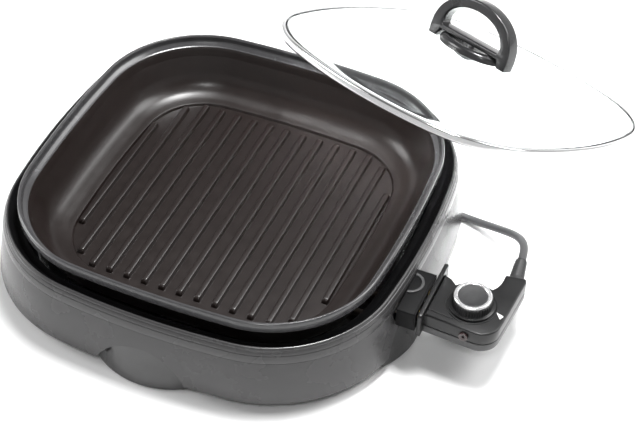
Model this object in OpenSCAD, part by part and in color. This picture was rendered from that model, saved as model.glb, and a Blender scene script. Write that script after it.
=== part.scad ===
// Square electric grill pan: a heated base on four feet, a lift-out ridged pan,
// a glass lid that leans on the pan's back corner, and a plug-in temperature
// controller with its lead. Millimetres, +Z up, origin on the table under the
// centre of the base, +X toward the controller, -Y toward the front.

/* [Base] */
// Half width of the base at the bottom edge of its wall
base_a = 155; // [150:1:160]
// Height of the wall's bottom edge above the table
wall_z0 = 8.5; // [7:0.5:10]
// Height of the top edge of the wall
wall_z1 = 44; // [42:0.5:46]
// Radius of the side bulge of the base
side_r = 560; // [480:10:700]
// Corner radius of the base at the rim bead
corner_r = 89.5; // [80:0.5:100]
// Radius of the arched opening over each foot
arch_r = 36.8; // [30:0.1:42]

// Place of the right-hand foot along the side, under the controller's inlet
inlet_y = -40; // [-44:1:-36]

/* [Pan] */
// Half width over the pan's rim
rim_a = 136.3; // [134:0.1:138]
// Height of the top of the rim
rim_z = 68.8; // [66:0.1:72]
// Height of the underside of the pan
pan_z0 = 23.5; // [23.2:0.1:24]
// Distance between grill ridges
ridge_pitch = 13.6; // [12:0.1:13.7]
// Height of the grill ridges
ridge_h = 3.6; // [2:0.1:4]

/* [Lid] */
// Half width of the lid's steel band
lid_a = 130; // [126:0.5:132]
// Height of the glass dome above the band's middle
dome_h = 19; // [12:1:26]
// Lean of the lid: rotations about X, Y and Z
lid_rot = [-24.8, -4.3, -23.5];
// Place of the centre of the leaning lid
lid_pos = [108.7, 173.8, 58.6];

/* [Controller] */
// Height of the bottom of the controller
ctl_z0 = 27; // [24:0.5:29]
// Height of the top of the controller
ctl_z1 = 44; // [43:0.5:45]
// Centre of the dial
dial_c = [193.2, -34];
// Outer radius of the dial's silver ring
dial_r = 14.3; // [12:0.1:16]

/* [Cord] */
// Diameter of the lead
cord_d = 6; // [5:0.5:7]

/* [Hidden] */
$fn = 64;

// ---------- rounded-square outlines made of eight tangent arcs ----------
NS = 5;   // steps on each side arc
NC = 11;  // steps on each corner arc
NP = 4 * (NS + NC);
function cc(a, r1, r2) = let (k = r1 - a) (-k + sqrt(2 * pow(r1 - r2, 2) - k * k)) / 2;
function rot2(p, q) = [p[0] * cos(q) - p[1] * sin(q), p[0] * sin(q) + p[1] * cos(q)];
function outline(a, r1, r2) = let (c = cc(a, r1, r2), t = atan2(c, c + r1 - a))
  [for (q = [0:3], i = [0:NS + NC - 1])
    let (p = i < NS ? let (w = -t + 2 * t * i / NS) [a - r1 + r1 * cos(w), r1 * sin(w)]
      : let (w = t + (90 - 2 * t) * (i - NS) / NC) [c + r2 * cos(w), c + r2 * sin(w)])
    rot2(p, 90 * q)];
function base_o(a) = outline(a, side_r + a - 145, corner_r + a - 145);
function pan_o(a) = outline(a, 836 + a - 136.3, 81.3 + a - 136.3);
function lid_o(a) = outline(a, 260 + a - 130, 79 + a - 130);
function lift(o, z) = [for (p = o) [p[0], p[1], z]];

// closed ring solid: rings are swept from ring k to the next and back to the first
module ring_solid(rings) {
  n = len(rings[0]); m = len(rings);
  polyhedron(points = [for (r = rings) each r],
    faces = [for (i = [0:m - 1], j = [0:n - 1])
      let (a = i * n + j, b = ((i + 1) % m) * n + j,
           c = ((i + 1) % m) * n + (j + 1) % n, d = i * n + (j + 1) % n)
      each [[a, b, c], [a, c, d]]], convexity = 8);
}
// open stack of rings, closed by a flat cap at each end
module capped_solid(rings) {
  n = len(rings[0]); m = len(rings);
  polyhedron(points = [for (r = rings) each r],
    faces = concat([[for (j = [0:n - 1]) j]],
      [for (i = [0:m - 2], j = [0:n - 1])
        let (a = i * n + j, b = (i + 1) * n + j,
             c = (i + 1) * n + (j + 1) % n, d = i * n + (j + 1) % n)
        each [[a, b, c], [a, c, d]]],
      [[for (j = [n - 1:-1:0]) (m - 1) * n + j]]), convexity = 8);
}

// ---------- base ----------
module base_housing() color([0.20, 0.20, 0.21]) difference() {
  ring_solid([for (q = [[150, wall_z0], [base_a, wall_z0], [149.8, wall_z1], [141, wall_z1],
      [141, wall_z1 - 2.5], [147.3, wall_z1 - 2.5], [152.3, wall_z0 + 2], [150, wall_z0 + 2]])
    lift(base_o(q[0]), q[1])]);
  for (q = [0:3]) rotate([0, 0, 90 * q]) translate([120, foot_y[q], arch_z])
    rotate([0, 90, 0]) cylinder(r = arch_r, h = 50);
  translate([138, -62, 31.5]) cube([22, 42, 9.9]);
}
arch_z = 30 - arch_r;
foot_y = [inlet_y, 0, 0, 0];
module top_ring() color([0.07, 0.07, 0.075])
  ring_solid([for (q = [[140, 44], [148.6, 44], [149, 44.6], [149, 47], [148, 50.5], [146.4, 53.6],
      [145.6, 55], [144.9, 55.6], [144, 55.2], [142.4, 53.4], [139.8, 49.8], [137, 48.2],
      [134, 47.6], [134, 45.4], [138, 45.8]])
    lift(base_o(q[0]), q[1])]);

foot_z = 1.2;
module foot_at() {
  intersection() {
    translate([98.6, 0, foot_z]) cylinder(r1 = 60, r2 = 53, h = 28.6);
    translate([138, 0, arch_z]) rotate([0, 90, 0]) cylinder(r = arch_r - 0.2, h = 24);
    translate([141, -45, 0]) cube([20, 90, 40]);
  }
}
module side_feet() color([0.22, 0.22, 0.23])
  for (q = [0:3]) rotate([0, 0, 90 * q]) translate([0, foot_y[q], 0]) difference() {
    foot_at();
    translate([148, 0, 0]) cylinder(r = 5.2, h = 3);
    translate([148, 0, 0]) cylinder(r = 1.6, h = 14);
  }
module foot_pads() color([0.05, 0.05, 0.05])
  for (q = [0:3]) rotate([0, 0, 90 * q]) translate([148, foot_y[q], 0]) cylinder(r = 5.2, h = 3);

cov_z = 13.2;
module cover_shape(a) { polygon(base_o(a)); }
module bottom_cover() color([0.10, 0.10, 0.105]) difference() {
  translate([0, 0, cov_z]) linear_extrude(1.4) cover_shape(149.4);
  for (q = [0:3]) rotate([0, 0, 90 * q]) translate([140.6, foot_y[q] - 38, cov_z - 1]) cube([20, 76, 4]);
  for (x = [-1, 1], y = [-1, 1]) translate([x * 100, y * 70, 0]) cylinder(r = 1.8, h = 30);
  for (i = [-6:6]) translate([i * 8 - 1.6, -26, 0]) cube([3.2, 52, 30]);
}
module bottom_screws() color([0.62, 0.63, 0.65])
  for (x = [-1, 1], y = [-1, 1]) translate([x * 100, y * 70, 0]) difference() {
    union() {
      translate([0, 0, cov_z - 0.7]) cylinder(r = 3.4, h = 0.7);
      translate([0, 0, cov_z]) cylinder(r = 1.8, h = 2.2);
    }
    translate([-0.5, -2.4, cov_z - 2]) cube([1, 4.8, 1.7]);
    translate([-2.4, -0.5, cov_z - 2]) cube([4.8, 1, 1.7]);
  }
module reflector_tray() color([0.72, 0.73, 0.75]) difference() {
  capped_solid([for (q = [[116, 14.6], [121, 15.4], [126, 21], [125.1, 21], [120.5, 16.2], [115.6, 15.4]])
    lift(pan_o(q[0]), q[1])]);
  for (x = [-1, 1], y = [-1, 1]) translate([x * 100, y * 70, 10]) cylinder(r = 1.8, h = 12);
  for (s = [-31, -51]) translate([112, s - 4.5, 15.6]) cube([20, 9, 14]);
}
// element: one round loop of tube, two cold legs that rise to the terminals
el_z = 19.75;
el_r = 2.75;
pin_r = 3;
el_loop = 82;
pin_z = 37.5;
function leg_x(y) = sqrt(el_loop * el_loop - y * y);
module rod(p, q, r) {
  d = q - p; l = norm(d);
  translate(p) rotate([0, acos(d[2] / l), atan2(d[1], d[0])]) cylinder(r = r, h = l);
}
module heating_element() color([0.45, 0.44, 0.43]) {
  a0 = -asin(31 / el_loop); a1 = 360 - asin(51 / el_loop);
  translate([0, 0, el_z]) rotate([0, 0, a0]) rotate_extrude(angle = a1 - a0) translate([el_loop, 0]) circle(r = el_r);
  for (y = [-31, -51]) {
    translate([leg_x(y) - 4.5, y - 4, el_z - 3]) cube([9, 8, 6]);
    rod([leg_x(y) + 2, y, el_z], [136, y, el_z], el_r);
    translate([133.6, y - 3.4, el_z - 3.4]) cube([6.8, 6.8, pin_z - el_z + 6.8]);
    rod([138, y, pin_z], [161, y, pin_z], pin_r);
  }
}
module element_clips() color([0.75, 0.75, 0.77])
  for (q = [30, 100, 170, 240]) rotate([0, 0, q]) translate([el_loop, 0, 0]) difference() {
    union() {
      translate([-3.9, -4, 15.4]) cube([7.8, 8, 8]);
      translate([3.9, -4, 15.4]) cube([9, 8, 0.9]);
    }
    translate([-3, -5, 15]) cube([6, 10, el_z - 15]);
    translate([0, 5, el_z]) rotate([90, 0, 0]) cylinder(r = 3, h = 10);
  }
module pan_supports() color([0.60, 0.61, 0.63])
  for (q = [45, 135, 225, 315]) rotate([0, 0, q]) translate([114, 0, 0]) {
    translate([-7, -6, pan_z0 - 1.3]) cube([14, 12, 1]);
    translate([5.8, -6, 15.4]) cube([1.2, 12, pan_z0 - 16.7]);
    translate([7, -6, 15.4]) cube([8, 12, 1.2]);
  }
module socket_block() color([0.05, 0.05, 0.055]) difference() {
  union() {
    translate([150.2, -62, 31.5]) cube([12.3, 42, 16]);
    translate([142, -62, 31.5]) cube([8.2, 42, 9.9]);
    translate([146, -35, 47.5]) cylinder(r = 10, h = 1.4);
  }
  translate([0, 0, 46]) linear_extrude(10) polygon(base_o(149.6));
  translate([151.2, -59.6, 33]) cube([12, 37.2, 9.6]);
  for (y = [-51, -31]) translate([140, y, pin_z]) rotate([0, 90, 0]) cylinder(r = 3.9, h = 14);
  translate([140, -41, pin_z]) rotate([0, 90, 0]) cylinder(r = 3.6, h = 14);
}
module terminal_insulators() color([0.90, 0.88, 0.82])
  for (y = [-51, -31]) translate([141, y, pin_z]) rotate([0, 90, 0]) difference() {
    cylinder(r = 3.9, h = 10.2);
    translate([0, 0, -1]) cylinder(r = pin_r, h = 13);
  }

// ---------- pan ----------
floor_z = pan_z0 + 2.8;
pan_prof = [[104, pan_z0], [111, 24.4], [117, 28.2], [121.6, 35], [129.4, 55.5], [131.4, 58.2],
  [134.9, 61], [136.3, 61.2], [136.3, 66.6], [135.9, 68.2], [135, 68.8], [134, 68.7],
  [133.4, 67.6], [133.1, 64.4], [132.6, 63.5], [130.3, 61.3], [129.5, 60.5], [128.6, 59],
  [126.9, 54.5], [120.9, 40.5], [117.6, 35], [112.5, 30.8], [106.5, 28.8], [101, 28.2],
  [100.4, floor_z]];
function ridge_l(x) = min(94, 53.3 + sqrt(max(0, 45 * 45 - pow(abs(x) + 2.7 - 53.3, 2))));
module grill_pan() color([0.12, 0.115, 0.115]) union() {
  capped_solid([for (q = pan_prof) lift(pan_o(q[0] + rim_a - 136.3), q[1] + (q[1] > 56 ? rim_z - 68.8 : 0))]);
  for (i = [-7:7]) let (x = i * ridge_pitch, l = abs(x) < 50 ? 94 : ridge_l(x))
    translate([x - 2.7, -l, floor_z - 1]) cube([5.4, 2 * l, 1 + ridge_h]);
}

// ---------- lid, drawn flat about its own centre, then leaned ----------
module leaned() { translate(lid_pos) rotate(lid_rot) children(); }
function dome_ring(s, z) = [for (p = lid_o(lid_a - 2)) [p[0] * s, p[1] * s, z]];
function dome_z(s) = dome_h * (1 - pow(s, 2.3));
SV = [0.06, 0.2, 0.36, 0.52, 0.66, 0.78, 0.88, 0.95, 1];
module lid_glass() color([0.80, 0.88, 0.88, 0.35]) leaned() difference() {
  capped_solid(concat([for (s = SV) dome_ring(s, dome_z(s) - 2)],
    [for (i = [8:-1:0]) dome_ring(SV[i], dome_z(SV[i]) + 2)]));
  cylinder(r = 3.1, h = 60);
}
module lid_rim() color([0.78, 0.79, 0.80]) leaned()
  ring_solid([for (q = [[lid_a - 4, -3], [lid_a, -3], [lid_a, 3], [lid_a - 3, 3], [lid_a - 3, 2.55],
      [lid_a - 1.9, 2.1], [lid_a - 1.9, -2.1], [lid_a - 4, -2.1]])
    lift(lid_o(q[0]), q[1])]);
hb = dome_h + 2;
module handle_base() color([0.13, 0.13, 0.135]) leaned() difference() {
  translate([0, 0, hb]) linear_extrude(6.5) polygon([for (i = [0:47]) [28.2 * cos(i * 7.5), 16.6 * sin(i * 7.5)]]);
  translate([0, 0, hb - 1]) cylinder(r = 3.1, h = 20);
}
function dee(w, h, n) = [for (i = [0:n]) let (t = 180 * i / n) [w * cos(t), h * pow(sin(t), 0.85)]];
module lid_handle() color([0.15, 0.15, 0.155]) leaned() translate([0, 0, hb + 6.5]) {
  rotate([90, 0, 0]) translate([0, 0, -6]) linear_extrude(12) difference() {
    polygon(concat([[38.5, -6.3]], dee(39, 34, 36),
      [[-38.5, -6.3], [-30.8, -6.3], [-28.4, 0], [28.4, 0], [30.8, -6.3]]));
    translate([0, 4.5]) polygon(dee(29, 21.5, 36));
  }
}
module handle_washer() color([0.30, 0.30, 0.31]) leaned() translate([0, 0, hb - 5.4]) difference() {
  cylinder(r = 11, h = 1.2);
  translate([0, 0, -1]) cylinder(r = 3.1, h = 4);
}
module handle_screw() color([0.70, 0.71, 0.73]) leaned() difference() {
  union() {
    translate([0, 0, hb - 7.8]) cylinder(r = 5.5, h = 2.4);
    translate([0, 0, hb - 5.4]) cylinder(r = 3.05, h = 11.9);
  }
  translate([-0.6, -4, hb - 8]) cube([1.2, 8, 1.4]);
}

// ---------- controller ----------
function arc(c, r, a, b, n) = [for (i = [0:n]) let (t = a + (b - a) * i / n) [c[0] + r * cos(t), c[1] + r * sin(t)]];
body_o = concat([[166.5, -55.6]], arc([203.6, -43.6], 14, -96, -6, 8),
  [[218.6, -30], [220.4, 1.8]], [[219.2, 5]], [[205.2, 2.6]],
  arc([183, -2], 22.2, 0, -26, 5), arc(dial_c, 21.4, 68, 140, 8),
  [[172.5, -16.5], [166.5, -14]]);
split_z = 33.4;
module guard_plate() color([0.07, 0.07, 0.075]) difference() {
  translate([163.5, -61.5, 27]) cube([3, 55.5, 20]);
  for (y = [-51, -31]) translate([160, y, pin_z]) rotate([0, 90, 0]) cylinder(r = 3.7, h = 10);
  translate([160, -41, pin_z]) rotate([0, 90, 0]) cylinder(r = 3.05, h = 10);
}
module controller_top() color([0.06, 0.06, 0.065]) difference() {
  translate([0, 0, split_z]) linear_extrude(ctl_z1 - split_z) polygon(body_o);
  translate([169, -52, split_z - 1]) cube([45, 31, ctl_z1 - split_z - 1]);
  translate([202, -25, split_z - 1]) cube([15, 25, ctl_z1 - split_z - 1]);
  translate([dial_c[0], dial_c[1], 30]) cylinder(r = 3.06, h = 20);
  for (y = [-51, -31]) translate([165, y, pin_z]) rotate([0, 90, 0]) cylinder(r = 3.7, h = 6);
  translate([165, -41, pin_z]) rotate([0, 90, 0]) cylinder(r = 3.05, h = 6);
  at_gland() translate([0, 0, -3]) cylinder(r = 4.2, h = 12);
  translate([196, -60, 37.6]) rotate([-90, 0, 0]) cylinder(r = 3.4, h = 12);
}
module controller_bottom() color([0.07, 0.07, 0.075]) difference() {
  translate([0, 0, ctl_z0]) linear_extrude(split_z - ctl_z0) polygon(body_o);
  translate([169, -52, ctl_z0 + 2]) cube([45, 31, 10]);
  translate([202, -25, ctl_z0 + 2]) cube([15, 25, 10]);
  at_gland() translate([0, 0, -3]) cylinder(r = 4.2, h = 12);
  for (p = [[172, -24], [208, -48], [214, -4]]) translate([p[0], p[1], 0]) cylinder(r = 2.6, h = 28.6);
}
module case_screws() color([0.60, 0.61, 0.63])
  for (p = [[172, -24], [208, -48], [214, -4]]) translate([p[0], p[1], 27.2]) difference() {
    cylinder(r = 2.6, h = 1.4);
    translate([-0.4, -1.9, -0.5]) cube([0.8, 3.8, 1.2]);
  }
module probe_rod() color([0.80, 0.81, 0.82])
  translate([143, -41, pin_z]) rotate([0, 90, 0]) union() {
    cylinder(r = 3.05, h = 28);
    sphere(r = 3.05);
  }
module contact_sockets() color([0.80, 0.65, 0.30])
  for (y = [-51, -31]) translate([152, y, pin_z]) rotate([0, 90, 0]) difference() {
    cylinder(r = 3.7, h = 19);
    translate([0, 0, -1]) cylinder(r = pin_r + 0.05, h = 13);
  }
module thermostat() color([0.85, 0.82, 0.75]) difference() {
  translate([172, -46, 30.2]) cube([28, 20, 9.6]);
  translate([dial_c[0], dial_c[1], 33]) cylinder(r = 3.06, h = 20);
}
module power_contacts() color([0.82, 0.60, 0.35]) {
  translate([171, -33, 36.4]) cube([1, 4, 2.4]);
  translate([171, -51.4, 36.4]) cube([14, 4, 1.2]);
}
module neon_lamp() color([0.95, 0.55, 0.35])
  translate([196, -51.6, 37.6]) rotate([-90, 0, 0]) cylinder(r = 2.2, h = 5.4);
module indicator_lens() color([0.75, 0.20, 0.12])
  translate([196, -59, 37.6]) rotate([-90, 0, 0]) difference() {
    cylinder(r = 3.4, h = 6.4);
    translate([0, 0, 2]) cylinder(r = 2.4, h = 8);
  }
module at_gland() translate([212.5, 0, 36]) rotate([0, 0, 7]) rotate([-90, 0, 0]) children();
module strain_relief() color([0.07, 0.07, 0.07]) at_gland() difference() {
  union() {
    translate([0, 0, -2.6]) cylinder(r = 4.2, h = 7);
    translate([0, 0, 4.4]) cylinder(r = 6, h = 2.6);
    translate([0, 0, 7]) cylinder(r1 = 5.3, r2 = 4, h = 20);
  }
  translate([0, 0, -5]) cylinder(r = cord_d / 2, h = 40);
}

// ---------- cord ----------
function unit(v) = v / norm(v);
function crs(a, b) = [a[1] * b[2] - a[2] * b[1], a[2] * b[0] - a[0] * b[2], a[0] * b[1] - a[1] * b[0]];
coil_c = [44, 50];
route_a = [[212.5, 0, 36], [210.8, 13.9, 36], [209.2, 26.8, 36], [207.8, 36, 35.2], [205.4, 45, 33],
  [201.4, 53.4, 29.4], [195.4, 61, 24.6], [188, 67.6, 19.2], [179.8, 73.4, 13.9], [171, 78.2, 9.3],
  [162, 82, 5.8], [152.6, 84.6, 3.7], [142.6, 86, 3], [130, 86.2, 3], [116, 86, 3], [102, 86, 3],
  [88, 86, 3], [74, 86, 3], [59, 86, 3], [44, 86, 3]];
route_b = [[68.6, 32.8, 3], [72.2, 39.8, 3.9], [74, 47.4, 5.6], [74.4, 55.2, 7.5], [73.8, 63.2, 8.9], [72.4, 71.8, 9.3],
  [70.6, 80.4, 9.3], [68.8, 88.8, 9.1], [67, 97, 7.9], [65, 105, 5.9], [62.6, 113, 4], [59.8, 121, 3.1],
  [56.8, 129, 3], [53.8, 137, 3], [50.8, 145.4, 3], [47.4, 153.8, 3], [42.8, 161.8, 3.3],
  [36.4, 168.8, 4.3], [28.6, 173.6, 5.7], [19.8, 176, 7], [11, 176.4, 7.5]];
module tube(p, r, n) {
  m = len(p);
  capped_solid([for (i = [0:m - 1])
    let (t = unit(p[min(i + 1, m - 1)] - p[max(i - 1, 0)]),
         u = unit(crs([0, 0, 1], t)), v = crs(t, u))
    [for (j = [0:n - 1]) p[i] - (u * cos(j * 360 / n) - v * sin(j * 360 / n)) * r]]);
}
module supply_cord() color([0.08, 0.08, 0.08]) {
  tube(route_a, cord_d / 2, 8);
  tube(route_b, cord_d / 2, 8);
}
module cord_coil() color([0.08, 0.08, 0.08])
  translate([coil_c[0], coil_c[1], 0]) rotate_extrude() translate([27, 0]) square([12, cord_d]);
module cord_clip() color([0.15, 0.15, 0.15]) translate([coil_c[0] - 4, coil_c[1] - 41.2, 0]) difference() {
  cube([8, 16.6, 7.2]);
  translate([-1, 1.2, -1]) cube([10, 14.2, 7]);
}
module plug_body() color([0.08, 0.08, 0.08]) {
  translate([11, 176.4, 7.5]) rotate([0, -90, 0]) cylinder(r1 = 3.6, r2 = 5, h = 20);
  translate([-37, 165.4, 0]) cube([28, 22, 15]);
}
module plug_blades() color([0.85, 0.75, 0.45])
  for (y = [170, 181.3]) translate([-55, y, 4.3]) cube([18, 1.5, 6.4]);

// ---------- dial ----------
module dial_knob() color([0.06, 0.06, 0.065]) translate([dial_c[0], dial_c[1], 0]) difference() {
  union() {
    translate([0, 0, ctl_z1 + 0.4]) cylinder(r = 17, h = 1.6);
    translate([0, 0, ctl_z1 + 2]) cylinder(r = dial_r, h = 6.6);
  }
  for (i = [0:35]) rotate([0, 0, i * 10]) translate([dial_r - 0.6, -0.5, ctl_z1 + 2.4]) cube([2, 1, 5.4]);
  translate([0, 0, 40]) cylinder(r = 3, h = 11);
  translate([0, 0, ctl_z1 + 7.4]) cylinder(r = 13.2, h = 4);
}
module dial_ring() color([0.86, 0.86, 0.87]) translate([dial_c[0], dial_c[1], ctl_z1 + 7.4]) difference() {
  cylinder(r = 13.2, h = 2.6);
  translate([0, 0, -1]) cylinder(r = 10.2, h = 5);
}
module dial_cap() color([0.09, 0.09, 0.095]) translate([dial_c[0], dial_c[1], ctl_z1 + 7.4])
  cylinder(r = 10.2, h = 2);
module dial_shaft() color([0.80, 0.66, 0.35]) translate([dial_c[0], dial_c[1], 33.6])
  cylinder(r = 3, h = 17);

base_housing();
top_ring();
side_feet();
foot_pads();
bottom_cover();
bottom_screws();
reflector_tray();
heating_element();
element_clips();
pan_supports();
socket_block();
terminal_insulators();
grill_pan();
lid_glass();
lid_rim();
lid_handle();
handle_base();
handle_washer();
handle_screw();
guard_plate();
controller_top();
controller_bottom();
probe_rod();
contact_sockets();
thermostat();
power_contacts();
neon_lamp();
indicator_lens();
case_screws();
strain_relief();
supply_cord();
cord_coil();
cord_clip();
plug_body();
plug_blades();
dial_knob();
dial_ring();
dial_cap();
dial_shaft();
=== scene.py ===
# Looks of the square electric grill pan. All lengths below are millimetres in
# the CAD frame and are turned into metres when a mesh is made.
import math
import bpy, bmesh
from mathutils import Vector, Matrix


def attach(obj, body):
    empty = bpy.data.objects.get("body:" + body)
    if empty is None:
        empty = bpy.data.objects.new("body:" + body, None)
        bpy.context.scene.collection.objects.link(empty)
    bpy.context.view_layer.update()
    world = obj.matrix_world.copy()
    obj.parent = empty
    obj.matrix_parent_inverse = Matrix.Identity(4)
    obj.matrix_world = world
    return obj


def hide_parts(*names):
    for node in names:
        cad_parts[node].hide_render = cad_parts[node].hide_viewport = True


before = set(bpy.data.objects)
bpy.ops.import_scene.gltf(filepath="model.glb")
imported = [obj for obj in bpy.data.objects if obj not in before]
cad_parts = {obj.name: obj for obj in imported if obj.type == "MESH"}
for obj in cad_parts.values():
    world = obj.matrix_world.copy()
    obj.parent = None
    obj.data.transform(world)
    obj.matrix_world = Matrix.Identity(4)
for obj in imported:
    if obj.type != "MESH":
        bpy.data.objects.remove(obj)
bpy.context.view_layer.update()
MM = 0.001
sin, cos, pi, rad = math.sin, math.cos, math.pi, math.radians
scene = bpy.context.scene
scene.view_settings.view_transform = "Standard"
scene.view_settings.look = "None"


# ------------------------------------------------------------------ camera
def make_camera():
    az, el, roll = rad(21.77), rad(44.55), rad(1.94)
    back = Vector((sin(az) * cos(el), -cos(az) * cos(el), sin(el)))
    r = Vector((cos(az), sin(az), 0))
    u = back.cross(r)
    cr = r * cos(roll) + u * sin(roll)
    cu = -r * sin(roll) + u * cos(roll)
    target = Vector((68.69, -5.73, 47.5)) * MM
    pos = target + back * 1.235
    m = Matrix(((cr.x, cu.x, back.x, pos.x), (cr.y, cu.y, back.y, pos.y),
                (cr.z, cu.z, back.z, pos.z), (0, 0, 0, 1)))
    cam = bpy.data.cameras.new("camera")
    cam.sensor_width = 36
    cam.lens = 98.12
    cam.clip_start, cam.clip_end = 0.05, 20
    o = bpy.data.objects.new("camera", cam)
    scene.collection.objects.link(o)
    o.matrix_world = m
    scene.camera = o


make_camera()


# --------------------------------------------------------------- materials
def material(name, col, rough=0.4, metallic=0.0, col2=None, nscale=60.0, rvar=0.06,
             bump=0.0, bscale=900.0, bdist=0.0002, coat=0.0, coat_rough=0.1, ior=1.5,
             transmission=0.0, sheen=0.0, stretch=None, bump2=None, specular=0.5,
             wear=None, aniso=0.0):
    m = bpy.data.materials.new(name)
    m.use_nodes = True
    nt = m.node_tree
    b = nt.nodes["Principled BSDF"]
    L = nt.links
    b.inputs["Metallic"].default_value = metallic
    b.inputs["IOR"].default_value = ior
    b.inputs["Specular IOR Level"].default_value = specular
    b.inputs["Coat Weight"].default_value = coat
    b.inputs["Coat Roughness"].default_value = coat_rough
    b.inputs["Transmission Weight"].default_value = transmission
    b.inputs["Sheen Weight"].default_value = sheen
    b.inputs["Anisotropic"].default_value = aniso
    tc = nt.nodes.new("ShaderNodeTexCoord")
    src = tc.outputs["Object"]
    if stretch:
        mp = nt.nodes.new("ShaderNodeMapping")
        mp.inputs["Scale"].default_value = stretch
        L.new(src, mp.inputs["Vector"])
        src = mp.outputs["Vector"]
    n = nt.nodes.new("ShaderNodeTexNoise")
    n.inputs["Scale"].default_value = nscale
    n.inputs["Detail"].default_value = 4
    L.new(src, n.inputs["Vector"])
    cr = nt.nodes.new("ShaderNodeValToRGB")
    c2 = col2 or tuple(min(1, c * 1.25 + 0.002) for c in col)
    cr.color_ramp.elements[0].position = 0.3
    cr.color_ramp.elements[1].position = 0.72
    cr.color_ramp.elements[0].color = (*col, 1)
    cr.color_ramp.elements[1].color = (*c2, 1)
    L.new(n.outputs["Fac"], cr.inputs["Fac"])
    colour = cr.outputs["Color"]
    if wear:
        # edges that rub show a lighter tone
        g = nt.nodes.new("ShaderNodeNewGeometry")
        wr = nt.nodes.new("ShaderNodeMapRange")
        wr.inputs["From Min"].default_value = 0.53
        wr.inputs["From Max"].default_value = 0.62
        L.new(g.outputs["Pointiness"], wr.inputs["Value"])
        mx = nt.nodes.new("ShaderNodeMix")
        mx.data_type = "RGBA"
        mx.inputs["B"].default_value = (*wear, 1)
        L.new(colour, mx.inputs["A"])
        L.new(wr.outputs["Result"], mx.inputs["Factor"])
        colour = mx.outputs["Result"]
    L.new(colour, b.inputs["Base Color"])
    mr = nt.nodes.new("ShaderNodeMapRange")
    mr.inputs["To Min"].default_value = max(0.0, rough - rvar)
    mr.inputs["To Max"].default_value = rough + rvar
    L.new(n.outputs["Fac"], mr.inputs["Value"])
    L.new(mr.outputs["Result"], b.inputs["Roughness"])
    if bump:
        n2 = nt.nodes.new("ShaderNodeTexNoise")
        n2.inputs["Scale"].default_value = bscale
        n2.inputs["Detail"].default_value = 3
        L.new(src, n2.inputs["Vector"])
        bp = nt.nodes.new("ShaderNodeBump")
        bp.inputs["Strength"].default_value = bump
        bp.inputs["Distance"].default_value = bdist
        L.new(n2.outputs["Fac"], bp.inputs["Height"])
        last = bp
        if bump2:
            n3 = nt.nodes.new("ShaderNodeTexNoise")
            n3.inputs["Scale"].default_value = bump2[0]
            L.new(src, n3.inputs["Vector"])
            b3 = nt.nodes.new("ShaderNodeBump")
            b3.inputs["Strength"].default_value = bump2[1]
            b3.inputs["Distance"].default_value = 0.0006
            L.new(n3.outputs["Fac"], b3.inputs["Height"])
            L.new(bp.outputs["Normal"], b3.inputs["Normal"])
            last = b3
        L.new(last.outputs["Normal"], b.inputs["Normal"])
    return m


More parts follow.
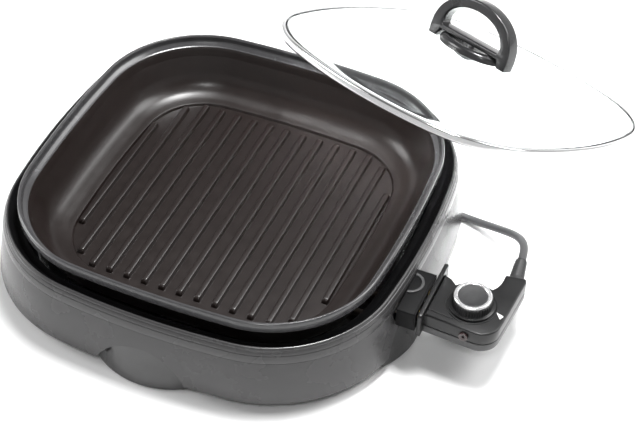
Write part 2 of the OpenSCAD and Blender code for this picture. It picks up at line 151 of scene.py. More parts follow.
M = {
    "wall": material("wall_enamel", (0.042, 0.041, 0.042), 0.27, nscale=35, col2=(0.048, 0.047, 0.048), rvar=0.04, bump=0.10, bscale=700, coat=0.22, coat_rough=0.12, specular=0.42),
    "lip": material("lip_gloss", (0.006, 0.006, 0.0065), 0.20, nscale=50, rvar=0.04, bump=0.05, bscale=500, coat=0.5, coat_rough=0.06),
    "foot": material("foot_moulding", (0.040, 0.0395, 0.040), 0.20, nscale=60, rvar=0.04, bump=0.06, bscale=800, coat=0.3, coat_rough=0.1),
    "pan": material("nonstick_coat", (0.0100, 0.0062, 0.0054), 0.34, nscale=120, col2=(0.0130, 0.0084, 0.0074), rvar=0.05, bump=0.22, bscale=1700, bdist=0.00012, bump2=(160, 0.05), coat=0.20, coat_rough=0.20, specular=0.42),
    "rim": material("nonstick_rim", (0.045, 0.044, 0.046), 0.26, nscale=120, col2=(0.058, 0.057, 0.06), rvar=0.04, bump=0.14, bscale=1700, bdist=0.0001, coat=0.4, coat_rough=0.12),
    "phenolic": material("phenolic_satin", (0.006, 0.006, 0.0064), 0.36, nscale=90, rvar=0.05, bump=0.12, bscale=1500, bdist=0.0001, coat=0.25, coat_rough=0.10, specular=0.32),
    "phenolic_dark": material("phenolic_matte", (0.0030, 0.0030, 0.0033), 0.50, nscale=90, rvar=0.05, bump=0.22, bscale=1400, bdist=0.00014, specular=0.14),
    "side": material("phenolic_side", (0.045, 0.045, 0.046), 0.38, nscale=90, rvar=0.05, bump=0.2, bscale=1200, bdist=0.00014, coat=0.1, coat_rough=0.2),
    "handle": material("handle_gloss", (0.020, 0.020, 0.021), 0.24, nscale=80, rvar=0.05, bump=0.10, bscale=1300, coat=0.4, coat_rough=0.08),
    "band": material("steel_band", (0.80, 0.80, 0.81), 0.17, 1.0, nscale=40, col2=(0.86, 0.86, 0.86), rvar=0.05, bump=0.04, bscale=900),
    "sheet": material("pressed_steel", (0.42, 0.42, 0.43), 0.34, 1.0, nscale=40, col2=(0.50, 0.50, 0.51), rvar=0.08, bump=0.10, bscale=600, stretch=(1, 14, 1)),
    "bottom": material("bottom_plate", (0.030, 0.030, 0.031), 0.45, 0.0, nscale=30, rvar=0.08, bump=0.15, bscale=600),
    "tray": material("reflector", (0.62, 0.62, 0.63), 0.26, 1.0, nscale=30, col2=(0.70, 0.70, 0.70), rvar=0.08, bump=0.08, bscale=300),
    "sheath": material("element_sheath", (0.10, 0.085, 0.075), 0.5, 0.8, nscale=180, col2=(0.17, 0.14, 0.12), rvar=0.1, bump=0.2, bscale=900),
    "brass": material("contact_brass", (0.58, 0.42, 0.19), 0.28, 1.0, nscale=200, col2=(0.68, 0.52, 0.26), rvar=0.08, bump=0.05, bscale=900),
    "ceramic": material("ceramic", (0.62, 0.58, 0.50), 0.42, nscale=200, col2=(0.72, 0.68, 0.60), rvar=0.08, bump=0.15, bscale=1500),
    "rubber": material("rubber", (0.012, 0.012, 0.012), 0.62, nscale=200, rvar=0.08, bump=0.3, bscale=1600),
    "relief": material("relief_rubber", (0.022, 0.022, 0.023), 0.5, nscale=200, rvar=0.08, bump=0.3, bscale=1600),
    "cord": material("cord_jacket", (0.060, 0.060, 0.062), 0.46, nscale=250, col2=(0.075, 0.075, 0.077), rvar=0.08, bump=0.25, bscale=1300),
    "ring": material("satin_silver", (0.84, 0.84, 0.85), 0.22, 0.75, nscale=150, col2=(0.92, 0.92, 0.92), rvar=0.06, bump=0.05, bscale=1200),
    "cap": material("cap_grain", (0.010, 0.010, 0.011), 0.42, nscale=300, rvar=0.06, bump=0.8, bscale=1500, bdist=0.0004),
    "white": material("mark_white", (0.80, 0.80, 0.80), 0.45, nscale=300, rvar=0.05, bump=0.1, bscale=1500),
    "lens": material("lens_smoke", (0.035, 0.020, 0.020), 0.2, nscale=200, rvar=0.05, coat=0.4, bump=0.05, bscale=900),
}


def glass_material():
    m = bpy.data.materials.new("lid_glass")
    m.use_nodes = True
    nt = m.node_tree
    b = nt.nodes["Principled BSDF"]
    b.inputs["Transmission Weight"].default_value = 1.0
    b.inputs["IOR"].default_value = 1.45
    b.inputs["Specular IOR Level"].default_value = 0.5
    tc = nt.nodes.new("ShaderNodeTexCoord")
    n = nt.nodes.new("ShaderNodeTexNoise")
    n.inputs["Scale"].default_value = 6
    nt.links.new(tc.outputs["Object"], n.inputs["Vector"])
    cr = nt.nodes.new("ShaderNodeValToRGB")
    cr.color_ramp.elements[0].color = (0.915, 0.948, 0.942, 1)
    cr.color_ramp.elements[1].color = (0.928, 0.958, 0.952, 1)
    nt.links.new(n.outputs["Fac"], cr.inputs["Fac"])
    nt.links.new(cr.outputs["Color"], b.inputs["Base Color"])
    mr = nt.nodes.new("ShaderNodeMapRange")
    mr.inputs["To Min"].default_value = 0.0
    mr.inputs["To Max"].default_value = 0.02
    nt.links.new(n.outputs["Fac"], mr.inputs["Value"])
    nt.links.new(mr.outputs["Result"], b.inputs["Roughness"])
    return m


M["glass"] = glass_material()


# ------------------------------------------------------------- mesh helpers
def finish_mesh(o, angle=32):
    bm = bmesh.new()
    bm.from_mesh(o.data)
    bmesh.ops.recalc_face_normals(bm, faces=bm.faces)
    for f in bm.faces:
        f.smooth = True
    lim = rad(angle)
    for e in bm.edges:
        e.smooth = not (len(e.link_faces) == 2 and e.calc_face_angle(0) > lim)
    bm.to_mesh(o.data)
    bm.free()


def mk(name, verts, faces, mat, body, nodes=(), angle=32, clean=True):
    me = bpy.data.meshes.new(name)
    me.from_pydata([tuple(c * MM for c in v) for v in verts], [], faces)
    me.update()
    o = bpy.data.objects.new(name, me)
    scene.collection.objects.link(o)
    me.materials.append(M[mat] if isinstance(mat, str) else mat)
    if clean:
        finish_mesh(o, angle)
    if body:
        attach(o, body)
    if nodes:
        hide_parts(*nodes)
    return o


def loft(rings, closed=False, caps=True):
    n, m = len(rings[0]), len(rings)
    v = [p for r in rings for p in r]
    f = []
    for i in range(m if closed else m - 1):
        a, b = i * n, ((i + 1) % m) * n
        for j in range(n):
            k = (j + 1) % n
            f.append((a + j, a + k, b + k, b + j))
    if not closed and caps:
        f.append(tuple(range(n - 1, -1, -1)))
        f.append(tuple((m - 1) * n + j for j in range(n)))
    return v, f


def join(parts):
    v, f = [], []
    for pv, pf in parts:
        k = len(v)
        v += pv
        f += [tuple(i + k for i in q) for q in pf]
    return v, f


def cc(a, r1, r2):
    k = r1 - a
    return (-k + math.sqrt(2 * (r1 - r2) ** 2 - k * k)) / 2


def outline(a, r1, r2, ns=14, nc=26):
    c = cc(a, r1, r2)
    t = math.atan2(c, c + r1 - a)
    out = []
    for q in range(4):
        cq, sq = [(1, 0), (0, 1), (-1, 0), (0, -1)][q]
        for i in range(ns + nc):
            if i < ns:
                w = -t + 2 * t * i / ns
                x, y = a - r1 + r1 * cos(w), r1 * sin(w)
            else:
                w = t + (pi / 2 - 2 * t) * (i - ns) / nc
                x, y = c + r2 * cos(w), c + r2 * sin(w)
            out.append((x * cq - y * sq, x * sq + y * cq))
    return out


def base_o(a, **k):
    return outline(a, 560 + a - 145, 89.5 + a - 145, **k)


def pan_o(a, **k):
    return outline(a, 836 + a - 136.3, 81.3 + a - 136.3, **k)


def lid_o(a, **k):
    return outline(a, 260 + a - 130, 79 + a - 130, **k)


def fillet(prof, rs, k=4, closed=True):
    """round the corners of a profile; rs is one radius or one per point"""
    n = len(prof)
    if not isinstance(rs, (list, tuple)):
        rs = [rs] * n
    out = []
    for i, p in enumerate(prof):
        if (not closed and i in (0, n - 1)) or rs[i] == 0:
            out.append(p)
            continue
        a, b = prof[i - 1], prof[(i + 1) % n]
        ua = (a[0] - p[0], a[1] - p[1])
        ub = (b[0] - p[0], b[1] - p[1])
        la, lb = math.hypot(*ua), math.hypot(*ub)
        ua, ub = (ua[0] / la, ua[1] / la), (ub[0] / lb, ub[1] / lb)
        d = max(-1, min(1, ua[0] * ub[0] + ua[1] * ub[1]))
        th = math.acos(d)
        if th > pi - 0.03:
            out.append(p)
            continue
        t = min(rs[i] / math.tan(th / 2), 0.46 * la, 0.46 * lb)
        s = (p[0] + ua[0] * t, p[1] + ua[1] * t)
        e = (p[0] + ub[0] * t, p[1] + ub[1] * t)
        for j in range(k + 1):
            w = j / k
            out.append(((1 - w) ** 2 * s[0] + 2 * w * (1 - w) * p[0] + w * w * e[0],
                        (1 - w) ** 2 * s[1] + 2 * w * (1 - w) * p[1] + w * w * e[1]))
    return out


def swept(prof, ofun, **k):
    return loft([[(x, y, z) for x, y in ofun(a, **k)] for a, z in prof], closed=True)


def revolve(prof, c, n=96, closed=True, axis="z"):
    rings = []
    for r, z in prof:
        rings.append([(c[0] + r * cos(2 * pi * j / n), c[1] + r * sin(2 * pi * j / n), c[2] + z) for j in range(n)])
    return loft(rings, closed=closed)


def boolean(o, cutters, op="DIFFERENCE"):
    for c in cutters:
        md = o.modifiers.new("b", "BOOLEAN")
        md.operation = op
        md.solver = "EXACT"
        md.object = c
    bake(o)
    for c in cutters:
        bpy.data.objects.remove(c)


def bake(o):
    bpy.context.view_layer.update()
    dg = bpy.context.evaluated_depsgraph_get()
    me = bpy.data.meshes.new_from_object(o.evaluated_get(dg))
    mats = [m for m in o.data.materials]
    o.modifiers.clear()
    o.data = me
    if not me.materials:
        for m in mats:
            me.materials.append(m)


def bevel(o, w, seg=3, angle=32, clean=True):
    md = o.modifiers.new("v", "BEVEL")
    md.width = w * MM
    md.segments = seg
    md.limit_method = "ANGLE"
    md.angle_limit = rad(angle)
    md.use_clamp_overlap = True
    md.harden_normals = False
    bake(o)
    if clean:
        finish_mesh(o, 38)


def cutter(verts, faces):
    me = bpy.data.meshes.new("cut")
    me.from_pydata([tuple(c * MM for c in v) for v in verts], [], faces)
    o = bpy.data.objects.new("cut", me)
    scene.collection.objects.link(o)
    bm = bmesh.new()
    bm.from_mesh(me)
    bmesh.ops.recalc_face_normals(bm, faces=bm.faces)
    bm.to_mesh(me)
    bm.free()
    return o


def box_mesh(x0, y0, z0, x1, y1, z1):
    v = [(x, y, z) for z in (z0, z1) for x, y in ((x0, y0), (x1, y0), (x1, y1), (x0, y1))]
    return v, [(3, 2, 1, 0), (4, 5, 6, 7), (0, 1, 5, 4), (1, 2, 6, 5), (2, 3, 7, 6), (3, 0, 4, 7)]


def turn(v, q):
    c, s = [(1, 0), (0, 1), (-1, 0), (0, -1)][q % 4]
    return [(x * c - y * s, x * s + y * c, z) for x, y, z in v]


def xcyl(r, x0, x1, y, z, n=128):
    ring = [(r * cos(2 * pi * j / n), r * sin(2 * pi * j / n)) for j in range(n)]
    return loft([[(x, y + a, z + b) for a, b in ring] for x in (x0, x1)])


def plate(name, loops, z0, z1, bev, mat, body, nodes=(), res=3, xform=None, angle=38):
    """flat outline with holes, extruded from z0 to z1 with rounded edges"""
    cu = bpy.data.curves.new(name, "CURVE")
    cu.dimensions = "2D"
    cu.fill_mode = "BOTH"
    for lp in loops:
        sp = cu.splines.new("POLY")
        sp.points.add(len(lp) - 1)
        for i, p in enumerate(lp):
            sp.points[i].co = (p[0] * MM, p[1] * MM, 0, 1)
        sp.use_cyclic_u = True
    cu.extrude = ((z1 - z0) / 2 - bev) * MM
    cu.bevel_depth = bev * MM
    cu.bevel_resolution = res
    cu.offset = -bev * MM
    t = bpy.data.objects.new("tmp", cu)
    scene.collection.objects.link(t)
    bpy.context.view_layer.update()
    me = bpy.data.meshes.new_from_object(t.evaluated_get(bpy.context.evaluated_depsgraph_get()))
    bpy.data.objects.remove(t)
    bpy.data.curves.remove(cu)
    mid = (z0 + z1) / 2 * MM
    for v in me.vertices:
        p = Vector((v.co.x, v.co.y, v.co.z + mid))
        v.co = xform(p) if xform else p
    bm = bmesh.new()
    bm.from_mesh(me)
    bmesh.ops.remove_doubles(bm, verts=bm.verts, dist=1e-6)
    bm.to_mesh(me)
    bm.free()
    o = bpy.data.objects.new(name, me)
    scene.collection.objects.link(o)
    me.materials.clear()
    me.materials.append(M[mat])
    finish_mesh(o, angle)
    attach(o, body)
    if nodes:
        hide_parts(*nodes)
    return o


def softened(node, w, mat, body, name=None, seg=2, angle=34):
    """own copy of a CAD solid with its sharp edges rounded"""
    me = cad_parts[node].data.copy()
    o = bpy.data.objects.new(name or node + "_soft", me)
    scene.collection.objects.link(o)
    bm = bmesh.new()
    bm.from_mesh(me)
    bmesh.ops.remove_doubles(bm, verts=bm.verts, dist=2e-6)
    bmesh.ops.dissolve_limit(bm, angle_limit=rad(1.0), verts=bm.verts, edges=bm.edges)
    bm.to_mesh(me)
    bm.free()
    me.materials.clear()
    me.materials.append(M[mat])
    bevel(o, w, seg, angle)
    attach(o, body)
    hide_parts(node)
    return o


def paint(node, mat):
    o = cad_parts[node]
    if o.material_slots:
        for s in o.material_slots:
            s.link = "OBJECT"
            s.material = M[mat]
    else:
        o.data.materials.append(M[mat])


# ------------------------------------------------------------------ the lead
route_a = [(212.5, 0, 36), (210.8, 13.9, 36), (209.2, 26.8, 36), (207.8, 36, 35.2), (205.4, 45, 33),
           (201.4, 53.4, 29.4), (195.4, 61, 24.6), (188, 67.6, 19.2), (179.8, 73.4, 13.9), (171, 78.2, 9.3),
           (162, 82, 5.8), (152.6, 84.6, 3.7), (142.6, 86, 3), (130, 86.2, 3), (116, 86, 3), (102, 86, 3),
           (88, 86, 3), (74, 86, 3), (59, 86, 3), (44, 86, 3)]
route_b = [(68.6, 32.8, 3), (72.2, 39.8, 3.9), (74, 47.4, 5.6), (74.4, 55.2, 7.5), (73.8, 63.2, 8.9), (72.4, 71.8, 9.3),
           (70.6, 80.4, 9.3), (68.8, 88.8, 9.1), (67, 97, 7.9), (65, 105, 5.9), (62.6, 113, 4), (59.8, 121, 3.1),
           (56.8, 129, 3), (53.8, 137, 3), (50.8, 145.4, 3), (47.4, 153.8, 3), (42.8, 161.8, 3.3),
           (36.4, 168.8, 4.3), (28.6, 173.6, 5.7), (19.8, 176, 7), (11, 176.4, 7.5)]


def coil_points():
    out = []
    t = 102.0
    while t < 672:
        r = 36 if t < 350 else 30 if t > 420 else 36 - 6 * (3 * ((t - 350) / 70) ** 2 - 2 * ((t - 350) / 70) ** 3)
        out.append((44 + r * cos(rad(t)), 50 + r * sin(rad(t)), 3.02))
        t += 12
    return out


def catmull(p, k=3):
    q = [tuple(2 * a - b for a, b in zip(p[0], p[1]))] + list(p) + [tuple(2 * a - b for a, b in zip(p[-1], p[-2]))]
    out = []
    for i in range(1, len(q) - 2):
        a, b, c, d = q[i - 1], q[i], q[i + 1], q[i + 2]
        for j in range(k):
            t = j / k
            out.append(tuple(.5 * (2 * b[n] + (c[n] - a[n]) * t + (2 * a[n] - 5 * b[n] + 4 * c[n] - d[n]) * t * t
                                   + (-a[n] + 3 * b[n] - 3 * c[n] + d[n]) * t ** 3) for n in range(3)))
    out.append(tuple(q[-2]))
    return out


def make_cord():
    pts = catmull(route_a + coil_points() + route_b)
    length = sum(math.dist(a, b) for a, b in zip(pts, pts[1:]))
    cu = bpy.data.curves.new("lead", "CURVE")
    cu.dimensions = "3D"
    sp = cu.splines.new("POLY")
    sp.points.add(len(pts) - 1)
    for i, p in enumerate(pts):
        sp.points[i].co = (p[0] * MM, p[1] * MM, max(p[2], 3.0) * MM, 1)
    cu.bevel_depth = 2.99 * MM
    cu.bevel_resolution = 5
    cu.use_fill_caps = True
    o = bpy.data.objects.new("lead", cu)
    scene.collection.objects.link(o)
    cu.materials.append(M["cord"])
    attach(o, "controller")
    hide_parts("supply_cord", "cord_coil")
    return o, length


cord, cord_len = make_cord()


# ---------------------------------------------------------------- plug, tie
def superellipse(a, b, n=48, e=3.2):
    out = []
    for j in range(n):
        t = 2 * pi * j / n
        c, s = cos(t), sin(t)
        out.append((a * math.copysign(abs(c) ** (2 / e), c), b * math.copysign(abs(s) ** (2 / e), s)))
    return out


def make_plug():
    secs = [(-37, 10.2, 6.9, 6), (-36.4, 10.8, 7.35, 6), (-34, 11, 7.5, 6), (-16, 11, 7.5, 6), (-13, 10.4, 7.1, 5),
            (-10.4, 8.6, 6.2, 4), (-9, 6.4, 5.4, 2.6)]
    x = -9
    for i in range(6):
        r = 5.0 - 1.25 * (x + 9) / 20
        secs += [(x + 0.5, r, r, 2), (x + 2.1, r - 0.1, r - 0.1, 2), (x + 2.5, r - 0.75, r - 0.75, 2), (x + 3.1, r - 0.75, r - 0.75, 2)]
        x += 3.35
    secs += [(10.8, 3.6, 3.6, 2), (11, 3.3, 3.3, 2)]
    rings = [[(x, 176.4 + p, 7.5 + q) for p, q in superellipse(a, b, e=e)] for x, a, b, e in secs]
    v, f = loft(rings)
    return mk("plug_shell", v, f, "rubber", "controller", ["plug_body"], 30)


plug = make_plug()


def make_tie():
    # flat strap wrapped once round both turns of the coil
    prof = fillet([(-8.1, -0.02), (8.1, -0.02), (8.1, 7.1), (-8.1, 7.1)], 2.6, 6)
    inner = fillet([(-6.9, 0.0), (6.9, 0.0), (6.9, 6.1), (-6.9, 6.1)], 1.6, 6)
    cx, cy = 44, 17.1
    v, f = loft([[(cx + x, cy + a, max(0.02, z)) for a, z in p] for x, p in
                 ((-4, inner), (-4, prof), (4, prof), (4, inner))], closed=True)
    return mk("tie_strap", v, f, "rubber", "controller", ["cord_clip"], 40)


tie = make_tie()
blades = softened("plug_blades", 0.3, "brass", "controller", "blades")


# --------------------------------------------------------------------- base
FOOT_Y = (-40, 0, 0, 0)


def make_wall():
    prof = fillet([(150, 8.5), (155, 8.5), (149.75, 43.9), (141, 43.9), (141, 41.5), (147.3, 41.5), (152.3, 10.5), (150, 10.5)],
                  [0.6, 1.3, 0.12, 0.4, 0.4, 1, 0.5, 0.3], 3)
    v, f = swept(prof, base_o)
    o = mk("wall_shell", v, f, "wall", "base", ["base_housing"], clean=False)
    cuts = []
    for q in range(4):
        cv, cf = xcyl(36.8, 120, 170, FOOT_Y[q], -6.8)
        cuts.append(cutter(turn(cv, q), cf))
    cv, cf = box_mesh(138, -62, 31.5, 160, -20, 41.4)
    cuts.append(cutter(cv, cf))
    boolean(o, cuts)
    finish_mesh(o, 30)
    return o


make_wall()


def make_lip():
    prof = [(140, 44), (149.3, 43.98), (149.75, 44.05), (149.35, 47.2), (148.75, 50.0), (148.35, 50.35), (148.45, 50.8),
            (148.2, 51.6), (147.5, 53.2), (147.0, 53.45), (147.0, 53.9), (146.75, 54.6), (146.1, 55.35), (145.3, 55.58),
            (144.5, 55.35), (143.9, 54.7), (142.4, 53.0), (139.8, 49.9), (137, 48.3), (134.1, 47.6), (134.1, 45.4), (138, 45.8)]
    rs = [0.5, 0.1, 0.1, 3, 0.4, 0.25, 0.3, 2, 0.3, 0.2, 0.3, 0.7, 0.7, 0.7, 0.7, 0.7, 4, 3, 4, 0.6, 0.6, 2]
    prof = fillet(prof, rs, 3)
    v, f = swept(prof, base_o)
    o = mk("lip_shell", v, f, "lip", "base", ["top_ring"], 26)
    o.data.materials.append(M["wall"])
    n = len(base_o(145))
    m = len(prof)
    # the outer face takes the wall's grey; on the bead top the same lighter grey is a painted highlight for the bead's
    # bright line
    wall_tone_and_bead_highlight = [a > 146.3 or (a > 145.2 and z > 55) for a, z in prof]
    for k, q in enumerate(o.data.polygons):
        if wall_tone_and_bead_highlight[k // n] and wall_tone_and_bead_highlight[(k // n + 1) % m]:
            q.material_index = 1


make_lip()


def make_feet():
    # each foot is a stack of flat sections: a bulging front arc and a straight back
    for q in range(4):
        rings = []
        zs = [1.2, 1.35, 1.8, 2.6] + [4 + 24.5 * i / 26 for i in range(27)] + [29.1, 29.5, 29.7]
        for z in zs:
            w = math.sqrt(max(0.04, 36.55 ** 2 - (z + 6.8) ** 2))
            r = 60 - 7 * (z - 1.2) / 28.6 - (0.7 if z == 1.2 else 0.35 if z == 1.35 else 0.1 if z == 1.8 else 0)
            w = w - (0.5 if z == 1.2 else 0.2 if z == 1.35 else 0)
            front = [(98.6 + math.sqrt(r * r - (w * (2 * i / 60 - 1)) ** 2), w * (2 * i / 60 - 1)) for i in range(61)]
            rings.append([(x, y + FOOT_Y[q], z) for x, y in front + [(141.1, w), (141.1, 0), (141.1, -w)]])
        v, f = loft(rings)
        mk("foot_%d" % q, turn(v, q), f, "foot", "base", ["side_feet"], 40)


make_feet()


def make_socket():
    up = lambda p: Vector((p.z, p.x, p.y))
    lp = fillet([(-62, 31.5), (-20, 31.5), (-20, 47.5), (-62, 47.5)], [1.2, 1.2, 1.4, 1.4], 5)
    plate("socket_body", [lp], 148.6, 161.5, 0.7, "phenolic_dark", "base", ["socket_block"], 3, up)
    # recessed face with the two pins and the probe hole
    inner = fillet([(-59.6, 33), (-22.4, 33), (-22.4, 42.6), (-59.6, 42.6)], 1.0, 4)
    plate("socket_frame", [lp, inner], 161.3, 162.5, 0.35, "phenolic_dark", "base", ["socket_block"], 2, up)
    pr = fillet([(7.4, 47.4), (10, 47.4), (9.8, 48.8), (7.9, 48.8)], [0.1, 0.1, 0.4, 0.4], 4)
    v, f = revolve(pr, (148.5, -35, 0), 96)
    o = mk("socket_collar", v, f, "side", "base", ())
    bv, bf = box_mesh(140, -50, 40, 149.7, -20, 60)
    boolean(o, [cutter(bv, bf)])
    finish_mesh(o, 35)


make_socket()
for node, mat in (("foot_pads", "rubber"), ("bottom_cover", "bottom"), ("bottom_screws", "sheet"), ("reflector_tray", "tray"),
                  ("heating_element", "sheath"), ("element_clips", "sheet"), ("pan_supports", "sheet"),
                  ("terminal_insulators", "ceramic"), ("handle_washer", "rubber"), ("handle_screw", "sheet"),
                  ("probe_rod", "sheet"), ("contact_sockets", "brass"), ("thermostat", "ceramic"),
                  ("power_contacts", "brass"), ("neon_lamp", "lens"), ("case_screws", "sheet"), ("dial_shaft", "brass")):
    paint(node, mat)


# ---------------------------------------------------------------------- pan
def make_pan():
    body = [(104, 23.5), (111, 24.4), (117, 28.2), (121.6, 35), (129.4, 55.5), (131.4, 58.2), (134.9, 61), (136.3, 61.2),
            (136.3, 66.6), (135.9, 68.2), (135, 68.8), (134, 68.7), (133.4, 67.6), (133.1, 64.4), (132.6, 63.5), (130.3, 61.6),
            (129.5, 61.3), (128.7, 59.6), (126.9, 54.5), (120.9, 40.5), (117.6, 35), (112.5, 30.8), (106.5, 28.8), (101.2, 28.2),
            (100.2, 26.3)]
    rs = [6, 10, 10, 20, 6, 4, 1, 0.8, 2, 1, 0.6, 0.5, 0.6, 0.6, 0.6, 0.5, 0.6, 1.2, 12, 40, 20, 16, 20, 0.7, 0.5]
    prof = fillet(body, rs, 4, closed=False)
    rings = [[(x, y, z) for x, y in pan_o(a)] for a, z in prof]
    n, m = len(rings[0]), len(rings)
    v, f = loft(rings)
    o = mk("pan_shell", v, f, "pan", "pan", ["grill_pan"], 34)
    o.data.materials.append(M["rim"])
    for p in o.data.polygons:
        if p.center.z > 0.0606:
            p.material_index = 1
    parts = []
    for i in range(-7, 8):
        x = i * 13.6
        l = 94 if abs(x) < 50 else min(94, 53.3 + math.sqrt(max(0, 45 * 45 - (abs(x) + 2.7 - 53.3) ** 2)))
        sec = fillet([(-2.7, 25.4), (-2.7, 26.4), (-2.05, 29.9), (2.05, 29.9), (2.7, 26.4), (2.7, 25.4)],
                     [0.1, 1.2, 1.1, 1.1, 1.2, 0.1], 4)
        ys = [(-l, 0.0), (-l + 0.25, 0.45), (-l + 0.9, 0.8), (-l + 2.0, 0.97), (-l + 3.2, 1.0), (0, 1.0)]
        ys = ys + [(-y, s) for y, s in ys[-2::-1]]
        rings = [[(x + a * (0.82 + 0.18 * s), y, 25.4 + (z - 25.4) * (0.24 + 0.76 * s)) for a, z in sec] for y, s in ys]
        parts.append(loft(rings))
    v, f = join(parts)
    mk("ridges", v, f, "pan", "pan", ["grill_pan"], 40)


make_pan()

# ---------------------------------------------------------------------- lid
POS = Vector((108.7, 173.8, 58.6)) * MM
ROT = (Matrix.Rotation(rad(-23.5), 4, "Z") @ Matrix.Rotation(rad(-4.3), 4, "Y") @ Matrix.Rotation(rad(-24.8), 4, "X"))
LEAN = Matrix.Translation(POS) @ ROT
HB = 21.0


def leaned(v):
    return [tuple(c / MM for c in (LEAN @ (Vector(p) * MM))) for p in v]


def make_glass():
    ss = [0.0255] + [0.05 + 0.95 * i / 34 for i in range(35)]
    dz = lambda s: 19 * (1 - s ** 2.3)
    top = [(s, dz(s) + 1.96) for s in ss[:-1]] + [(0.9985, 1.3), (1.0, 0.7)]
    bot = [(1.0, -0.7), (0.9985, -1.3)] + [(s, dz(s) - 1.96) for s in ss[-2::-1]]
    o128 = lid_o(127.9)
    rings = [[(x * s, y * s, z) for x, y in o128] for s, z in top + bot]
    v, f = loft(rings, closed=True)
    o = mk("lid_pane", leaned(v), f, "glass", "lid", ["lid_glass"], 50)
    o.visible_shadow = False


make_glass()


def make_band():
    prof = fillet([(126, -3), (130, -3), (130, 3), (127, 3), (127, 2.5), (128.1, 2.1), (128.1, -2.1), (126, -2.1)],
                  [0.4, 1.3, 1.6, 0.4, 0.2, 0.6, 0.6, 0.3], 4)
    v, f = swept(prof, lid_o)
    mk("lid_band", leaned(v), f, "band", "lid", ["lid_rim"], 40)


make_band()


def make_cup():
    n = 96
    prof = [(0.96, 0), (1.0, 0.5), (1.0, 3.2), (0.985, 4.3), (0.95, 5.3), (0.90, 6.0), (0.84, 6.4), (0.80, 6.5), (0.76, 6.3), (0.70, 5.6), (0.5, 5.0), (0.12, 4.8)]
    rings = [[(28.2 * s * cos(2 * pi * j / n), 16.6 * s * sin(2 * pi * j / n), HB + z) for j in range(n)] for s, z in prof]
    v, f = loft(rings)
    mk("handle_cup", leaned(v), f, "handle", "lid", ["handle_base"], 40)


make_cup()


def dee(w, h, n=72):
    return [(w * cos(pi * i / n), h * max(0, sin(pi * i / n)) ** 0.85) for i in range(n + 1)]


def make_handle():
    outer = [(38.5, -6.3)] + dee(39, 34) + [(-38.5, -6.3), (-30.8, -6.3), (-28.4, 0), (28.4, 0), (30.8, -6.3)]
    inner = [(x, y + 4.5) for x, y in fillet([(28.8, 0)] + dee(29, 21.5)[4:-4] + [(-28.8, 0)], [4] + [0] * 65 + [4], 6)]

    def xf(p):
        # curve plane (x, y) becomes the handle's (x, z); thickness runs along local y
        return LEAN @ Vector((p.x, p.z, p.y + (HB + 6.5) * MM))

    plate("handle_loop", [outer, inner], -5.95, 5.95, 1.5, "handle", "lid", ["lid_handle"], 4, xf, 40)


make_handle()


# --------------------------------------------------------------- controller
def arc(c, r, a, b, n):
    return [(c[0] + r * cos(rad(a + (b - a) * i / n)), c[1] + r * sin(rad(a + (b - a) * i / n))) for i in range(n + 1)]


DIAL = (193.2, -34.0)
body_o = ([(166.5, -55.6)] + arc((203.6, -43.6), 14, -96, -6, 20) + [(218.6, -30), (220.4, 1.8), (219.2, 5), (205.2, 2.6)]
          + arc((183, -2), 22.2, 0, -26, 8) + arc(DIAL, 21.4, 68, 140, 14) + [(172.5, -16.5), (166.5, -14)])
body_o = fillet(body_o, [0.4] + [0] * 21 + [3, 1.4, 1.6, 1.2] + [0] * 24 + [1.2, 0.4], 4)
plate("case_top", [body_o], 33.55, 44, 1.1, "phenolic", "controller", ["controller_top"], 4)
plate("case_bottom", [body_o], 27, 33.35, 0.7, "side", "controller", ["controller_bottom"], 3)


def make_guard():
    lp = fillet([(-61.5, 27), (-6, 27), (-6, 47), (-61.5, 47)], [1.5, 1.5, 2.5, 2.5], 5)
    plate("guard_shell", [lp], 163.5, 166.5, 0.6, "phenolic", "controller", ["guard_plate"], 3,
          lambda p: Vector((p.z, p.x, p.y)))


make_guard()


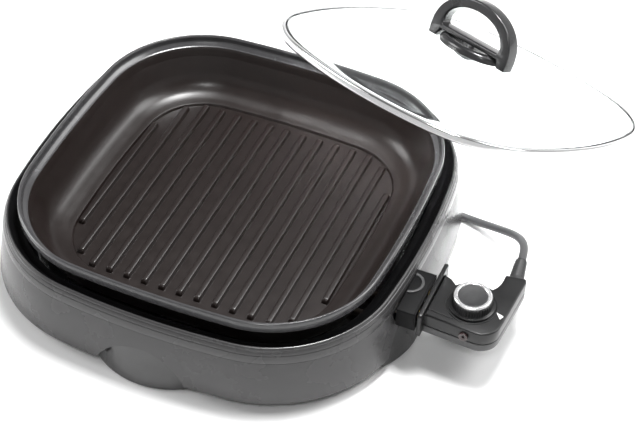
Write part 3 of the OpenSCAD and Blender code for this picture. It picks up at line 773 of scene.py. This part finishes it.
def make_dial():
    n = 360
    cx, cy = DIAL
    prof = [(14.6, 44.42, 0), (15.7, 44.45, 0), (15.9, 44.7, 0), (15.9, 45.2, 0), (15.5, 45.5, 0), (14.6, 45.6, 0),
            (14.3, 45.7, 0), (14.2, 45.9, 0.4), (14.25, 46.3, 1), (14.3, 51.0, 1), (14.2, 51.7, 1), (13.95, 52.2, 0.6),
            (13.6, 52.5, 0.1), (13.25, 52.5, 0), (13.22, 51.4, 0), (2.9, 51.4, 0)]
    rings = []
    for r, z, k in prof:
        rings.append([((cx + (r - 0.6 * k * (0.5 - 0.5 * cos(45 * 2 * pi * j / n)) ** 0.7) * cos(2 * pi * j / n)),
                       (cy + (r - 0.6 * k * (0.5 - 0.5 * cos(45 * 2 * pi * j / n)) ** 0.7) * sin(2 * pi * j / n)), z) for j in range(n)])
    v, f = loft(rings)
    mk("knob_grip", v, f, "phenolic", "dial", ["dial_knob"], 50)
    pr = fillet([(10.25, 51.42), (13.15, 51.42), (13.15, 53.4), (12.5, 53.98), (10.9, 53.98), (10.25, 53.4)], [0.1, 0.1, 0.5, 0.4, 0.4, 0.4], 4)
    v, f = revolve(pr, (cx, cy, 0), 128)
    mk("ring_trim", v, f, "ring", "dial", ["dial_ring"], 40)
    pr = [(10.2, 51.42), (10.2, 53.0), (9.9, 53.3), (9.3, 53.35), (8.8, 53.15), (4, 53.05), (0.3, 53.0)]
    v, f = revolve(pr, (cx, cy, 0), 128, closed=False)
    mk("cap_disc", v, f, "cap", "dial", ["dial_cap"], 40)
    # raised collar on the case under the dial, and the ridge that runs from it to the guard
    rl = [(167.4, -49.6, 44.0), (172, -50.0, 44.0), (180, -50.7, 44.0), (186, -51.0, 44.0)]
    sec = [(0.55 * cos(2 * pi * j / 12), 0.55 * sin(2 * pi * j / 12)) for j in range(12)]
    v, f = loft([[(x, y + a, z + b) for a, b in sec] for x, y, z in rl])
    mk("case_ridge", v, f, "phenolic", "controller", (), 60)
    pr = fillet([(16.6, 43.9), (17.9, 43.9), (17.7, 44.5), (16.9, 44.5)], [0.05, 0.05, 0.25, 0.25], 3)
    v, f = revolve(pr, (cx, cy, 0), 128)
    mk("dial_collar", v, f, "phenolic", "controller", (), 40)


make_dial()


def make_pointer():
    a = [(210.4, -33.4), (216.4, -35.3), (214.9, -38.9)]
    v, f = loft([[(x, y, z) for x, y in a] for z in (43.95, 44.16)])
    mk("pointer_mark", v, f, "white", "controller", ())


make_pointer()


def make_lens():
    n = 48
    pr = [(3.35, 0.0), (3.4, 0.3), (3.4, 6.3), (1.0, 6.3), (1.0, 0.5), (1.6, 0.35), (2.0, 0.1), (2.6, -0.05), (3.1, -0.05)]
    rings = [[(196 + r * cos(2 * pi * j / n), -59 + z + 0.05, 37.6 + r * sin(2 * pi * j / n)) for j in range(n)] for r, z in pr]
    v, f = loft(rings, closed=True)
    mk("lens_face", v, f, "lens", "controller", ["indicator_lens"], 40)


make_lens()


def make_relief():
    T = Matrix.Translation(Vector((212.5, 0, 36))) @ Matrix.Rotation(rad(7), 4, "Z") @ Matrix.Rotation(rad(-90), 4, "X")
    pr = [(3.05, -2.6), (4.2, -2.6), (4.2, 4.4), (5.7, 4.4), (6, 4.7), (6, 6.7), (5.7, 7.0), (5.3, 7.1)]
    z = 7.1
    for i in range(7):
        r = 5.25 - 1.25 * (z - 7) / 20
        pr += [(r, z + 0.3), (r, z + 1.7), (r - 0.55, z + 1.95), (r - 0.55, z + 2.5)]
        z += 2.8
    pr += [(4.0, 26.8), (3.7, 27.0), (3.02, 27.0)]
    n = 64
    rings = [[tuple(T @ Vector((r * cos(2 * pi * j / n), r * sin(2 * pi * j / n), zz))) for j in range(n)] for r, zz in pr]
    v, f = loft(rings, closed=True)
    mk("relief_sleeve", v, f, "relief", "controller", ["strain_relief"], 35)


make_relief()


# ------------------------------------------------------------ floor, lights
def make_stage():
    me = bpy.data.meshes.new("floor")
    s = 6.0
    me.from_pydata([(-s, -s, 0), (s, -s, 0), (s, s, 0), (-s, s, 0)], [], [(0, 1, 2, 3)])
    o = bpy.data.objects.new("floor", me)
    scene.collection.objects.link(o)
    m = bpy.data.materials.new("floor_white")
    m.use_nodes = True
    b = m.node_tree.nodes["Principled BSDF"]
    b.inputs["Base Color"].default_value = (0.92, 0.92, 0.92, 1)
    b.inputs["Roughness"].default_value = 0.6
    b.inputs["Specular IOR Level"].default_value = 0.2
    me.materials.append(m)
    w = bpy.data.worlds.new("studio")
    scene.world = w
    w.use_nodes = True
    nt = w.node_tree
    bg = nt.nodes["Background"]
    tc = nt.nodes.new("ShaderNodeTexCoord")
    sp = nt.nodes.new("ShaderNodeSeparateXYZ")
    rp = nt.nodes.new("ShaderNodeValToRGB")
    nt.links.new(tc.outputs["Generated"], sp.inputs["Vector"])
    nt.links.new(sp.outputs["Z"], rp.inputs["Fac"])
    nt.links.new(rp.outputs["Color"], bg.inputs["Color"])
    e = rp.color_ramp.elements
    e[0].position, e[0].color = 0.0, (1.0, 1.0, 1.0, 1)
    e[1].position, e[1].color = 0.30, (0.75, 0.75, 0.75, 1)
    for pos, g in ((0.48, 0.20), (0.86, 0.16), (1.0, 0.5)):
        k = e.new(pos)
        k.color = (g, g, g, 1)
    bg.inputs["Strength"].default_value = 0.76

    def area(name, pos, target, size, energy, sy=None):
        la = bpy.data.lights.new(name, "AREA")
        la.shape = "RECTANGLE"
        la.size = size
        la.size_y = sy or size
        la.energy = energy
        lo = bpy.data.objects.new(name, la)
        scene.collection.objects.link(lo)
        lo.location = pos
        d = Vector(target) - Vector(pos)
        lo.rotation_euler = d.to_track_quat("-Z", "Y").to_euler()

    area("key", (1.5, 1.1, 1.9), (0, 0, 0), 1.3, 43)
    area("top", (0.10, 0.42, 1.7), (0, 0, 0), 0.4, 32)
    area("fill", (-2.0, -0.3, 1.2), (0, 0, 0), 1.0, 24)
    area("front", (0.34, -1.25, 1.75), (0.05, 0, 0), 0.3, 8)


make_stage()
